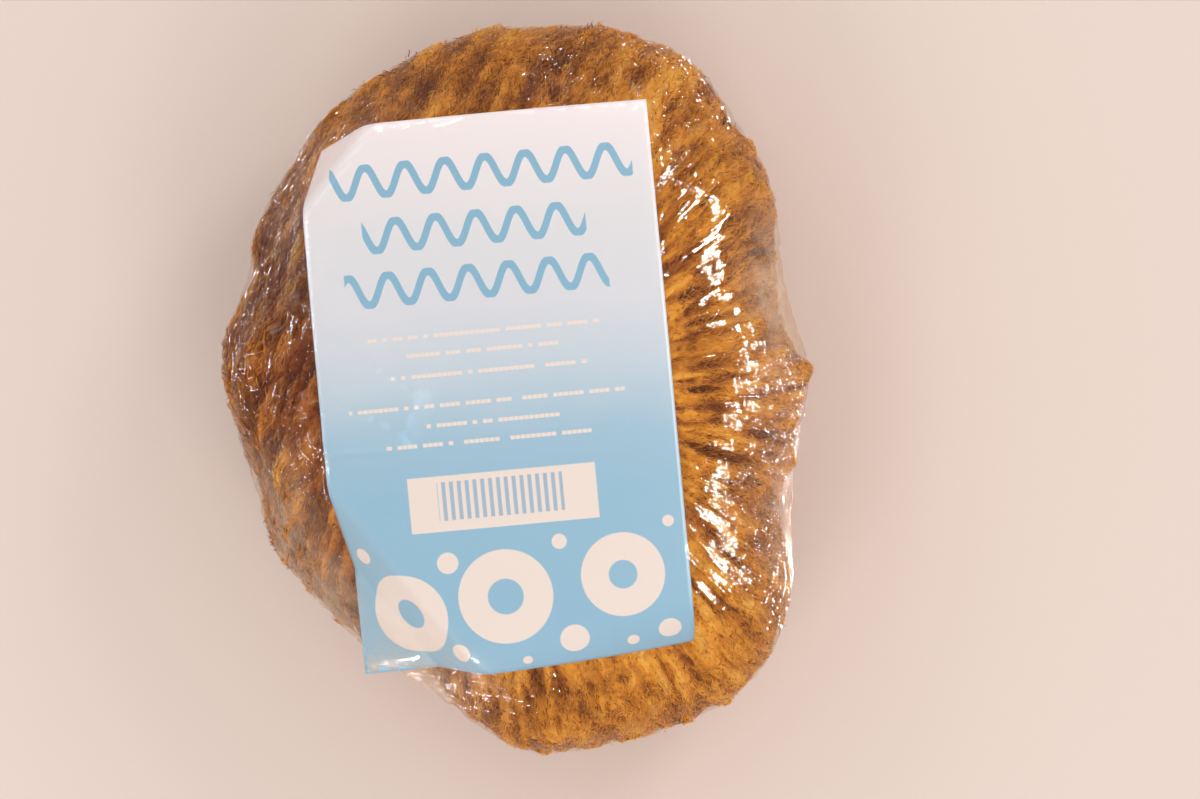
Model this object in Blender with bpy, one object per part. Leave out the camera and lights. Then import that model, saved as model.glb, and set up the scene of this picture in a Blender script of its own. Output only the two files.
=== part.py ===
"""A natural sea sponge in clear film, with a printed paper insert under the film.

The sponge lies on its flat back, and the insert faces up. X runs across the insert, Y up it,
and Z away from the surface that the sponge lies on. All sizes are in metres.
"""
import math
from dataclasses import dataclass

import bmesh
import bpy
import numpy as np
from mathutils import Vector
from mathutils.bvhtree import BVHTree

MM = 0.001
TAU = 2 * math.pi

# Smallest length that is divided by
TINY = 1e-12

# The sponge's reach from its middle, seen from above, every 11.25 degrees from +X
OUTLINE = np.array([
    64.6, 61.5, 63.5, 76.6, 77.4, 84.7, 86.0, 81.3, 79.8, 79.7, 75.4, 75.0, 68.2, 63.9, 62.4, 65.9,
    62.9, 62.3, 62.8, 64.2, 64.2, 68.5, 65.5, 78.1, 84.1, 84.6, 84.4, 88.5, 80.0, 67.0, 64.4, 62.3,
]) * MM
# Heights above the surface: the widest level, the crown and the flat back
WAIST = 36.0 * MM
CROWN = 78.0 * MM
BACK = 1.0 * MM
# How deep the lower half would go if the back were not cut flat
UNDER_DEPTH = 46.0 * MM
# Powers of the rounded sections: 2 is an ellipse, and more is squarer
SHOULDER_POWER = 2.5
SHOULDER_SWING = 0.3
UNDER_POWER = 2.4
SECTION_STEPS = 160

# The insert
LABEL_WIDTH = 79.0 * MM
LABEL_HEIGHT = 126.0 * MM
LABEL_THICKNESS = 0.4 * MM
LABEL_MIDDLE = (-3.6 * MM, -2.0 * MM)
LABEL_TOP = 80.0 * MM
LABEL_COLUMNS = 14
LABEL_ROWS = 20
BOW_ACROSS = 200.0 * MM
BOW_ALONG = 400.0 * MM

# The sponge's relief: three sizes of noise, each drawn from a number of its own
LUMP_SPACING = 26.0 * MM
LUMP_HEIGHT = 1.6 * MM
LUMP_SEED = 3
RIDGE_SPACING = 6.4 * MM
RIDGE_REACH = 9.0 * MM
RIDGE_HEIGHT = 1.3 * MM
RIDGE_SEED = 11
PIT_SPACING = 5.4 * MM
PIT_REACH = 4.0 * MM
PIT_DEPTH = 3.8 * MM
PIT_SEED = 29
# Noise this far below its mean starts a pit, and this much lower is at the pit's bottom
PIT_START = 0.8
PIT_RANGE = 1.2
COMB_STEPS = 9
LATTICE = 32
# The fibres' lean from the way down: at +X, and how much it swings about which direction
FIBRE_LEAN = math.radians(13.4)
FIBRE_SWING = math.radians(36.0)
SWING_FROM = math.radians(62.0)
# Near the cut back the relief fades to this share of itself, over this height
BACK_RELIEF = 0.3
BACK_FADE = 9.0 * MM
SPONGE_SEGMENTS = 240
SPONGE_RINGS = 96
BACK_RINGS = 12
SPONGE_SHARE = 0.093
PRESS_ROUNDS = 12
PRESS_GAP = 1.1 * MM
# Beside the insert the sponge may rise by this much from one of its own points to the next
PRESS_MARGIN_ROUNDS = 4
PRESS_RISE = 0.5 * MM

# The film
FILM_WALL = 0.4 * MM
FILM_GAP = 0.8 * MM
FILM_GROW = 2.6 * MM
FILM_SEGMENTS = 120
FILM_RINGS = 56
FILM_BACK_RINGS = 4
FILM_OPENING = 7.0 * MM
FILM_SHARE = 0.122
FLAT_SNAP = 0.02 * MM
TAUT_ROUNDS = 500
# Past an edge that it covers, the film falls at most this much from one of its points to the next
TENT_ROUNDS = 2
TENT_FALL = 2.0 * MM
LABEL_EDGE_POINTS = 80
# Longer than any reach of the object from its middle
FAR = 0.3
# Faces that meet at more than this look like an edge
SHARP_ANGLE = math.radians(50.0)


@dataclass(frozen=True)
class Bend:
    """A corner of the insert, bent down past a line that lies at a depth from the corner.

    The bend faces the direction toward, in degrees from +X, and has a radius up to its steepest
    slope, also in degrees. Past that the sheet runs straight, and past reach it is level again.
    """

    side_x: int
    side_y: int
    toward: float
    depth: float
    radius: float
    steepest: float
    reach: float


BENDS = (
    Bend(-1, 1, 137.9, 14.5 * MM, 4.0 * MM, 62.0, 15.0 * MM),
    Bend(-1, -1, 214.7, 27.9 * MM, 4.0 * MM, 52.0, 14.0 * MM),
    Bend(1, -1, 278.0, 15.5 * MM, 13.0 * MM, 70.0, 16.0 * MM),
)


@dataclass(frozen=True)
class Finish:
    """Colour, roughness and cover of one piece."""

    name: str
    colour: tuple
    roughness: float
    alpha: float = 1.0

    def material(self):
        """Make the finish as a Principled material."""
        made = bpy.data.materials.new(self.name)
        made.use_nodes = True
        made.diffuse_color = (*self.colour, self.alpha)
        shader = made.node_tree.nodes["Principled BSDF"]
        shader.inputs["Base Color"].default_value = (*self.colour, 1.0)
        shader.inputs["Roughness"].default_value = self.roughness
        shader.inputs["Alpha"].default_value = self.alpha
        return made


SPONGE_FINISH = Finish("ochre sponge", (0.46, 0.19, 0.055), 0.95)
LABEL_FINISH = Finish("printed paper", (0.47, 0.58, 0.70), 0.55)
FILM_FINISH = Finish("clear film", (0.95, 0.93, 0.90), 0.08, 0.2)


def clear_scene():
    """Remove whatever the opened file holds."""
    for old in list(bpy.data.objects):
        bpy.data.objects.remove(old, do_unlink=True)


def outline_reach(angle):
    """Smooth closed curve through the outline's reaches, read at an angle."""
    place = (angle % TAU) / TAU * len(OUTLINE)
    index = int(place)
    t = place - index
    before, start, end, after = (OUTLINE[(index + step) % len(OUTLINE)] for step in (-1, 0, 1, 2))
    bend = 2 * before - 5 * start + 4 * end - after
    twist = 3 * (start - end) + after - before
    return start + 0.5 * t * (end - before + t * (bend + t * twist))


def section(angle, grow, floor):
    """One upright section of the plain form, from its crown to the edge of its flat back.

    Distances are from the form's middle at the waist. The form is larger all round by grow,
    and its back is cut flat at floor below the waist.
    """
    reach = outline_reach(angle) + grow
    power = SHOULDER_POWER + SHOULDER_SWING * math.cos(2 * angle)
    turn = np.linspace(0.0, math.pi / 2, SECTION_STEPS)
    upper_out = reach * np.sin(turn) ** (2 / power)
    upper_up = (CROWN - WAIST + grow) * np.cos(turn) ** (2 / power)
    lower_out = reach * np.cos(turn) ** (2 / UNDER_POWER)
    lower_down = (UNDER_DEPTH + grow) * np.sin(turn) ** (2 / UNDER_POWER)
    kept = lower_down < floor
    edge = np.interp(floor, lower_down, lower_out)
    out = np.concatenate([upper_out, lower_out[kept][1:], [edge]])
    up = np.concatenate([upper_up, -lower_down[kept][1:], [-floor]])
    return out, up


def form_rings(segments, rings, back_rings, grow, floor, opening):
    """Rings of points on the plain form, from its crown down and in over its flat back."""
    placed = np.zeros((rings + back_rings, segments, 3))
    shares = np.arange(1, rings + 1) / rings
    for column in range(segments):
        angle = TAU * column / segments
        out, up = section(angle, grow, floor)
        run = np.concatenate([[0.0], np.cumsum(np.hypot(np.diff(out), np.diff(up)))])
        ring_out = np.interp(shares * run[-1], run, out)
        ring_up = np.interp(shares * run[-1], run, up)
        inward = np.arange(1, back_rings + 1) / back_rings
        back_out = out[-1] + (opening - out[-1]) * inward
        ring_out = np.concatenate([ring_out, back_out])
        ring_up = np.concatenate([ring_up, np.full(back_rings, -floor)])
        placed[:, column, 0] = ring_out * math.cos(angle)
        placed[:, column, 1] = ring_out * math.sin(angle)
        placed[:, column, 2] = ring_up
    return placed


def unit(vectors):
    """Vectors of length one."""
    return vectors / np.maximum(np.linalg.norm(vectors, axis=-1, keepdims=True), TINY)


def fibre_lines(placed):
    """The way the sponge's fibres run at each point.

    They cross the outline radially at the right, lean over more and more round the top and the
    left, and have turned by half a turn at the bottom, as on a sponge that grew from one side.
    """
    down = unit(np.gradient(placed, axis=0))
    around = np.roll(placed, -1, axis=1) - np.roll(placed, 1, axis=1)
    around = unit(around - down * np.sum(around * down, axis=-1, keepdims=True))
    angle = np.arctan2(placed[..., 1], placed[..., 0]) % TAU
    lean = -angle / 2 - FIBRE_LEAN + FIBRE_SWING * np.cos(angle - SWING_FROM)
    return down * np.cos(lean)[..., None] + around * np.sin(lean)[..., None]


def smooth(share):
    """Ease a share from 0 to 1 in and out."""
    return share * share * (3 - 2 * share)


def grain(points, spacing, seed):
    """Smooth noise between -1 and 1, with features of about the spacing."""
    lattice = np.random.default_rng(seed).uniform(-1.0, 1.0, (LATTICE, LATTICE, LATTICE))
    place = points / spacing
    cell = np.floor(place).astype(int)
    share = smooth(place - cell)
    total = np.zeros(points.shape[:-1])
    for corner in np.ndindex(2, 2, 2):
        weight = np.prod(np.where(corner, share, 1 - share), axis=-1)
        near = (cell + corner) % LATTICE
        total += weight * lattice[near[..., 0], near[..., 1], near[..., 2]]
    return total


def combed(points, lines, spacing, reach, seed):
    """Noise drawn out along the fibres, with a spread of one."""
    total = np.zeros(points.shape[:-1])
    for step in np.linspace(-1.0, 1.0, COMB_STEPS):
        total += grain(points + lines * (reach * step), spacing, seed)
    return (total - total.mean()) / total.std()


def relief(placed):
    """Height of the sponge's lumps, ridges and pits over its plain form."""
    lines = fibre_lines(placed)
    lumps = LUMP_HEIGHT * grain(placed, LUMP_SPACING, LUMP_SEED)
    ridges = RIDGE_HEIGHT * combed(placed, lines, RIDGE_SPACING, RIDGE_REACH, RIDGE_SEED)
    below = -combed(placed, lines, PIT_SPACING, PIT_REACH, PIT_SEED)
    return lumps + ridges - PIT_DEPTH * smooth(np.clip((below - PIT_START) / PIT_RANGE, 0.0, 1.0))


def bent_sheet(u, v):
    """Where the points of the flat insert are once it is bowed and its corners bent down."""
    x = u + LABEL_MIDDLE[0]
    y = v + LABEL_MIDDLE[1]
    drop = u * u / (2 * BOW_ACROSS) + v * v / (2 * BOW_ALONG)
    for bend in BENDS:
        out_x = math.cos(math.radians(bend.toward))
        out_y = math.sin(math.radians(bend.toward))
        from_corner_x = u - bend.side_x * LABEL_WIDTH / 2
        from_corner_y = v - bend.side_y * LABEL_HEIGHT / 2
        past = np.clip(from_corner_x * out_x + from_corner_y * out_y + bend.depth, 0.0, bend.reach)
        turn = np.minimum(past / bend.radius, math.radians(bend.steepest))
        straight = past - turn * bend.radius
        shift = bend.radius * np.sin(turn) + straight * np.cos(turn) - past
        x = x + out_x * shift
        y = y + out_y * shift
        drop = drop + bend.radius * (1 - np.cos(turn)) + straight * np.sin(turn)
    return np.stack([x, y, LABEL_TOP - WAIST - drop], axis=-1)


def band_faces(start, columns):
    """Quads between two closed rings of points that follow each other in the point list."""
    after = [(column + 1) % columns for column in range(columns)]
    return [
        [start + column, start + columns + column, start + columns + after[column], start + after[column]]
        for column in range(columns)
    ]


def fan_faces(pole, start, columns):
    """Triangles between a pole and a closed ring of points, seen from the pole's outer side."""
    return [[pole, start + column, start + (column + 1) % columns] for column in range(columns)]


def add_piece(name, points, faces, finish):
    """Make one object from points about the form's middle, with its finish."""
    mesh = bpy.data.meshes.new(name)
    mesh.from_pydata([tuple(point) for point in points], [], faces)
    mesh.update()
    mesh.shade_smooth()
    mesh.set_sharp_from_angle(angle=SHARP_ANGLE)
    piece = bpy.data.objects.new(name, mesh)
    piece.data.materials.append(finish.material())
    bpy.context.collection.objects.link(piece)
    return piece


def surface_tree(piece):
    """Search tree of a piece's finished surface, about the form's middle."""
    return BVHTree.FromObject(piece, bpy.context.evaluated_depsgraph_get())


def finished_points(piece):
    """The points of a piece's finished surface, about the form's middle."""
    finished = piece.evaluated_get(bpy.context.evaluated_depsgraph_get())
    return [vertex.co.copy() for vertex in finished.data.vertices]


def first_reach(tree, directions):
    """Distance from the form's middle to the inner side of a surface, endless where none is."""
    flat = directions.reshape(-1, 3)
    found = np.full(len(flat), np.inf)
    for index, direction in enumerate(flat):
        distance = tree.ray_cast(Vector(), Vector(direction))[3]
        if distance is not None:
            found[index] = distance
    return found.reshape(directions.shape[:-1])


def last_reach(trees, directions):
    """Distance from the form's middle to the outermost of some surfaces, zero where none is."""
    flat = directions.reshape(-1, 3)
    found = np.zeros(len(flat))
    for index, direction in enumerate(flat):
        away = Vector(direction)
        for tree in trees:
            distance = tree.ray_cast(away * FAR, -away)[3]
            if distance is not None:
                found[index] = max(found[index], FAR - distance)
    return found.reshape(directions.shape[:-1])


def make_label():
    """The paper insert: one bowed sheet with three corners bent down."""
    u, v = np.meshgrid(
        np.linspace(-LABEL_WIDTH / 2, LABEL_WIDTH / 2, LABEL_COLUMNS + 1),
        np.linspace(-LABEL_HEIGHT / 2, LABEL_HEIGHT / 2, LABEL_ROWS + 1),
    )
    top = bent_sheet(u, v)
    normal = unit(np.cross(np.gradient(top, axis=1), np.gradient(top, axis=0)))
    low = top - normal * LABEL_THICKNESS
    points = np.concatenate([top.reshape(-1, 3), low.reshape(-1, 3)])
    width = LABEL_COLUMNS + 1
    under = width * (LABEL_ROWS + 1)
    faces = []
    for row in range(LABEL_ROWS):
        for column in range(LABEL_COLUMNS):
            a = row * width + column
            faces.append([a, a + 1, a + width + 1, a + width])
            faces.append([under + a, under + a + width, under + a + width + 1, under + a + 1])
    last = under - width
    for column in range(LABEL_COLUMNS):
        faces.append([column, under + column, under + column + 1, column + 1])
        a = last + column
        faces.append([a, a + 1, under + a + 1, under + a])
    for row in range(LABEL_ROWS):
        a = row * width
        faces.append([a, a + width, under + a + width, under + a])
        b = a + LABEL_COLUMNS
        faces.append([b, under + b, under + b + width, b + width])
    return add_piece("label", points, faces, LABEL_FINISH)


def eased(limit, rounds, rise):
    """Carry a limit past the places that have it, rising a little from point to point."""
    for _ in range(rounds):
        above = np.concatenate([limit[:1], limit[:-1]])
        below = np.concatenate([limit[1:], limit[-1:]])
        beside = np.minimum(np.roll(limit, 1, axis=1), np.roll(limit, -1, axis=1))
        nearby = np.minimum(np.minimum(above, below), beside)
        limit = np.minimum(limit, nearby + rise)
    return limit


def pressed(reach, limit):
    """Ease the sponge's form down where the insert presses on it."""
    reach = np.minimum(reach, limit)
    for _ in range(PRESS_ROUNDS):
        above = np.concatenate([reach[:1], reach[:-1]])
        below = np.concatenate([reach[1:], reach[-1:]])
        beside = np.roll(reach, 1, axis=1) + np.roll(reach, -1, axis=1)
        evened = (above + below + beside + 4 * reach) / 8
        evened[SPONGE_RINGS - 1:] = reach[SPONGE_RINGS - 1:]
        reach = np.minimum(evened, limit)
    return reach


def make_sponge(label):
    """The sponge: a rounded form with lumps, ridges and pits, cut flat at its back."""
    floor = WAIST - BACK
    plain = form_rings(SPONGE_SEGMENTS, SPONGE_RINGS, BACK_RINGS, 0.0, floor, 0.0)[:-1]
    directions = unit(plain)
    under_label = first_reach(surface_tree(label), directions) - PRESS_GAP
    limit = eased(under_label, PRESS_MARGIN_ROUNDS, PRESS_RISE)
    reach = pressed(np.linalg.norm(plain, axis=-1), limit)
    fade = np.clip((plain[..., 2] + floor) / BACK_FADE, BACK_RELIEF, 1.0)
    reach = reach + relief(plain) * fade
    reach = np.minimum(reach, limit)
    lowest = np.maximum(-directions[..., 2], TINY)
    reach = np.minimum(reach, floor / lowest)
    reach[SPONGE_RINGS - 1:] = (floor / lowest)[SPONGE_RINGS - 1:]
    rings = directions * reach[..., None]
    crown = [0.0, 0.0, reach[0].mean()]
    points = np.concatenate([rings.reshape(-1, 3), [crown, [0.0, 0.0, -floor]]])
    pole = SPONGE_SEGMENTS * len(rings)
    faces = fan_faces(pole, 0, SPONGE_SEGMENTS)
    for ring in range(len(rings) - 1):
        faces += band_faces(ring * SPONGE_SEGMENTS, SPONGE_SEGMENTS)
    back = fan_faces(pole + 1, pole - SPONGE_SEGMENTS, SPONGE_SEGMENTS)
    faces += [face[::-1] for face in back]
    sponge = add_piece("sponge", points, faces, SPONGE_FINISH)
    fewer = sponge.modifiers.new("fewer faces", "DECIMATE")
    fewer.ratio = SPONGE_SHARE
    return sponge


def taut(rings, crown_height, least):
    """Draw a film tight over the least reach that it may have in each direction."""
    directions = unit(rings)
    free = slice(0, FILM_RINGS - 1)
    across = np.linalg.norm(rings - np.roll(rings, 1, axis=1), axis=-1)[free]
    down = np.linalg.norm(np.gradient(rings, axis=0), axis=-1)[free]
    beside_share = down ** 2 / (down ** 2 + across ** 2)
    crown = np.broadcast_to([0.0, 0.0, crown_height], (1, *rings.shape[1:]))
    for _ in range(TAUT_ROUNDS):
        stacked = np.concatenate([crown, rings])
        endwise = (stacked[:-2] + stacked[2:])[free] / 2
        beside = ((np.roll(rings, 1, axis=1) + np.roll(rings, -1, axis=1)) / 2)[free]
        drawn = endwise + (beside - endwise) * beside_share[..., None]
        reach = np.maximum(np.sum(drawn * directions[free], axis=-1), least[free])
        rings = np.concatenate([directions[free] * reach[..., None], rings[FILM_RINGS - 1:]])
    return rings


def give_wall(film, floor):
    """Turn the film's inner skin into a wall, with the outer skin swelled from the middle."""
    thinned = film.evaluated_get(bpy.context.evaluated_depsgraph_get())
    skin = bmesh.new()
    skin.from_mesh(thinned.to_mesh())
    thinned.to_mesh_clear()
    film.modifiers.clear()
    for vertex in skin.verts:
        if abs(vertex.co.z + floor) < FLAT_SNAP:
            vertex.co.z = -floor
    made = bmesh.ops.duplicate(skin, geom=skin.verts[:] + skin.edges[:] + skin.faces[:])
    for element in made["geom"]:
        if isinstance(element, bmesh.types.BMVert):
            element.co *= WAIST / floor
    bmesh.ops.bridge_loops(skin, edges=[edge for edge in skin.edges if edge.is_boundary])
    bmesh.ops.recalc_face_normals(skin, faces=skin.faces)
    skin.to_mesh(film.data)
    skin.free()


def label_edge():
    """Points close together along the four edges of the insert."""
    run = np.linspace(-0.5, 0.5, LABEL_EDGE_POINTS)
    half = np.full(LABEL_EDGE_POINTS, 0.5)
    across = np.concatenate([run, run, half, -half]) * LABEL_WIDTH
    along = np.concatenate([half, -half, run, run]) * LABEL_HEIGHT
    return bent_sheet(across, along)


def hold_off(least, rings, points):
    """Raise a film's least reach round each point, so that its faces pass outside the point."""
    faces = []
    for ring in range(len(rings) - 1):
        faces += band_faces(ring * FILM_SEGMENTS, FILM_SEGMENTS)
    tree = BVHTree.FromPolygons([Vector(point) for point in rings.reshape(-1, 3)], faces)
    raised = least.reshape(-1).copy()
    for point in points:
        away = Vector(point)
        face = tree.ray_cast(Vector(), away.normalized())[2]
        for corner in faces[face] if face is not None else ():
            raised[corner] = max(raised[corner], away.length + FILM_GAP)
    return raised.reshape(least.shape)


def make_film(label, sponge):
    """The clear film: one taut skin with an opening where it is gathered on the back."""
    floor = WAIST - FILM_WALL
    plain = form_rings(FILM_SEGMENTS, FILM_RINGS, FILM_BACK_RINGS, FILM_GROW, floor, FILM_OPENING)
    trees = (surface_tree(label), surface_tree(sponge))
    covered = last_reach(trees, unit(plain)) + FILM_GAP
    covered = hold_off(covered, plain, list(label_edge()) + finished_points(sponge))
    least = -eased(-covered, TENT_ROUNDS, TENT_FALL)
    crown_height = last_reach(trees, np.array([[0.0, 0.0, 1.0]]))[0] + FILM_GAP
    inner = taut(plain, crown_height, least)
    points = np.concatenate([inner.reshape(-1, 3), [[0.0, 0.0, crown_height]]])
    faces = fan_faces(len(points) - 1, 0, FILM_SEGMENTS)
    for ring in range(len(inner) - 1):
        faces += band_faces(ring * FILM_SEGMENTS, FILM_SEGMENTS)
    film = add_piece("film", points, faces, FILM_FINISH)
    fewer = film.modifiers.new("fewer faces", "DECIMATE")
    fewer.ratio = FILM_SHARE
    give_wall(film, floor)
    return film


def centre_over_origin(pieces, outermost):
    """Stand all pieces on the ground with the outermost piece's box centred over the origin."""
    corners = np.array([vertex.co for vertex in outermost.data.vertices])
    middle = (corners.min(axis=0) + corners.max(axis=0)) / 2
    for piece in pieces:
        piece.location = (-middle[0], -middle[1], WAIST)


def main():
    """Build the label, the sponge pressed under it and the film over both."""
    clear_scene()
    label = make_label()
    sponge = make_sponge(label)
    film = make_film(label, sponge)
    centre_over_origin((label, sponge, film), film)


main()
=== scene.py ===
"""Looks of a natural sea sponge in clear film, with a printed paper insert under the film.

The sponge lies on its flat back and is seen from above. X runs across the insert, Y up it and
Z away from the floor. All sizes are in metres unless a name says otherwise.
"""
import logging
import math
from dataclasses import dataclass
from enum import Enum

import bmesh
import bpy
import numpy as np
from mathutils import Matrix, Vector
from mathutils.bvhtree import BVHTree


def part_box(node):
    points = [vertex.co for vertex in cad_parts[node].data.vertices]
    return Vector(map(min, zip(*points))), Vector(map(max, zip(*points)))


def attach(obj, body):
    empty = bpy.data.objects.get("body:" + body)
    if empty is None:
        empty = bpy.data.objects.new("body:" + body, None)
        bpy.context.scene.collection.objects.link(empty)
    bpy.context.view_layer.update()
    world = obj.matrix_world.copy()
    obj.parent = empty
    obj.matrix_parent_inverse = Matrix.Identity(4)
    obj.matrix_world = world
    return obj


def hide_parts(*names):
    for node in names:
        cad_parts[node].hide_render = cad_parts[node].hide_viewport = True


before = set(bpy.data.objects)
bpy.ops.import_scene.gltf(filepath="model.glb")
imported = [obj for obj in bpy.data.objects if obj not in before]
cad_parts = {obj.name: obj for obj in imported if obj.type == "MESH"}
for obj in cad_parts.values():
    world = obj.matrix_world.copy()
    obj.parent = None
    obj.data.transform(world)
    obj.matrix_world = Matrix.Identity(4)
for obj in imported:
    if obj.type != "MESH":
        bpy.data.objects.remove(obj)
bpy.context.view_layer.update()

LOG = logging.getLogger("sponge")
MM = 0.001
TAU = 2 * math.pi
BODY = "root"
FAR = 0.3
Socket = bpy.types.NodeSocket
Value = Socket | float | tuple

# The sponge's middle: above the surface it lies on, and from the middle of the insert
WAIST = 36.0 * MM
INSERT_FROM_MIDDLE = (-3.6 * MM, -2.0 * MM)


def srgb(red: int, green: int, blue: int) -> tuple[float, float, float, float]:
    """Turn an eight-bit screen colour into the linear one that shaders take.

    Args:
        red: Its red, from 0 to 255.
        green: Its green.
        blue: Its blue.

    Returns:
        The linear colour, with an opacity of one.
    """
    def linear(value: int) -> float:
        """One channel, from 0 to 255, as a linear share."""
        share = value / 255
        return share / 12.92 if share <= 0.04045 else ((share + 0.055) / 1.055) ** 2.4
    return (linear(red), linear(green), linear(blue), 1.0)


def unit(vectors: np.ndarray) -> np.ndarray:
    """Vectors of length one."""
    return vectors / np.maximum(np.linalg.norm(vectors, axis=-1, keepdims=True), 1e-12)


def smooth_share(values: np.ndarray, start: float, end: float) -> np.ndarray:
    """Ease from 0 at start to 1 at end."""
    share = np.clip((values - start) / (end - start), 0.0, 1.0)
    return share * share * (3 - 2 * share)


def sponge_middle() -> Vector:
    """The middle that every direction is taken from, found from where the insert lies."""
    low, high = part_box("label")
    middle = (low + high) / 2
    return Vector((middle.x - INSERT_FROM_MIDDLE[0], middle.y - INSERT_FROM_MIDDLE[1], WAIST))


def select_only(piece: bpy.types.Object | None) -> None:
    """Deselect everything, then select one piece and make it active.

    Args:
        piece: The piece, or None to leave nothing selected.
    """
    if bpy.context.object is not None and bpy.context.object.mode != "OBJECT":
        bpy.ops.object.mode_set(mode="OBJECT")
    bpy.ops.object.select_all(action="DESELECT")
    if piece is not None:
        piece.select_set(True)
        bpy.context.view_layer.objects.active = piece


def make_smooth(piece: bpy.types.Object) -> None:
    """Shade one piece smooth and leave it selected."""
    select_only(piece)
    bpy.ops.object.shade_smooth()


def thicken(piece: bpy.types.Object, thickness: float, rim: int = 0) -> None:
    """Give a selected sheet a wall inwards.

    Args:
        piece: The sheet.
        thickness: Thickness of the wall.
        rim: How far on in the piece's materials the one for the new faces is.
    """
    wall = piece.modifiers.new("thickness", "SOLIDIFY")
    wall.thickness = thickness
    wall.offset = -1.0
    wall.material_offset = rim
    wall.material_offset_rim = rim
    bpy.ops.object.modifier_apply(modifier=wall.name)


def read_points(mesh: bpy.types.Mesh) -> np.ndarray:
    """Places of a mesh's points."""
    flat = np.zeros(len(mesh.vertices) * 3)
    mesh.vertices.foreach_get("co", flat)
    return flat.reshape(-1, 3)


def move_points(mesh: bpy.types.Mesh, placed: np.ndarray) -> None:
    """Move a mesh's points to new places."""
    mesh.vertices.foreach_set("co", placed.reshape(-1))
    mesh.update()


def mark_points(mesh: bpy.types.Mesh, name: str, values: np.ndarray) -> None:
    """Give every point a value that the finish can read."""
    attribute = mesh.attributes.new(name, "FLOAT", "POINT")
    attribute.data.foreach_set("value", values.reshape(-1).astype(np.float32))


def report(piece: bpy.types.Object) -> None:
    """Log a finished piece and how many triangles it has."""
    piece.data.calc_loop_triangles()
    LOG.info("%s: %d triangles", piece.name, len(piece.data.loop_triangles))


@dataclass(frozen=True)
class Grain:
    """Smooth noise between -1 and 1 on a lattice of random values.

    Args:
        spacing: Distance between the lattice's values.
        seed: Number that the random values are drawn with.
        reach: How far combed noise is drawn out each way.
        cells: Values along each side before the lattice repeats.
        steps: Readings along each line of combed noise.
    """

    spacing: float
    seed: int
    reach: float = 0.0
    cells: int = 48
    steps: int = 9

    def at(self, points: np.ndarray) -> np.ndarray:
        """Read the noise at some points.

        Args:
            points: Where it is read.

        Returns:
            One value for each point.
        """
        side = self.cells
        lattice = np.random.default_rng(self.seed).uniform(-1.0, 1.0, side ** 3)
        place = points / self.spacing
        cell = np.floor(place).astype(np.int64)
        share = place - cell
        share = share * share * (3 - 2 * share)
        total = np.zeros(points.shape[:-1])
        for corner in np.ndindex(2, 2, 2):
            weight = np.prod(np.where(corner, share, 1 - share), axis=-1)
            near = (cell + corner) % side
            total += weight * lattice[(near[..., 0] * side + near[..., 1]) * side + near[..., 2]]
        return total

    def combed(self, points: np.ndarray, lines: np.ndarray) -> np.ndarray:
        """Read the noise drawn out along lines.

        Args:
            points: Where it is read.
            lines: Direction of the drawing out at each point.

        Returns:
            The noise with a mean of zero and a spread of one.
        """
        shifts = np.linspace(-1, 1, self.steps)
        total = sum(self.at(points + lines * (self.reach * shift)) for shift in shifts)
        return (total - total.mean()) / total.std()


@dataclass(frozen=True)
class Bands:
    """How the rings of a skin are shared out between its crown, flank and back, in degrees."""

    crown_end: float = 38.0
    flank_end: float = 127.0
    crown_share: float = 0.12
    flank_share: float = 0.80

    def angles(self, shares: np.ndarray) -> np.ndarray:
        """Polar angle of rings at even shares of the way from crown to back."""
        knots = [0.0, self.crown_share, self.crown_share + self.flank_share, 1.0]
        return np.radians(np.interp(shares, knots, [0.0, self.crown_end, self.flank_end, 180.0]))


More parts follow.
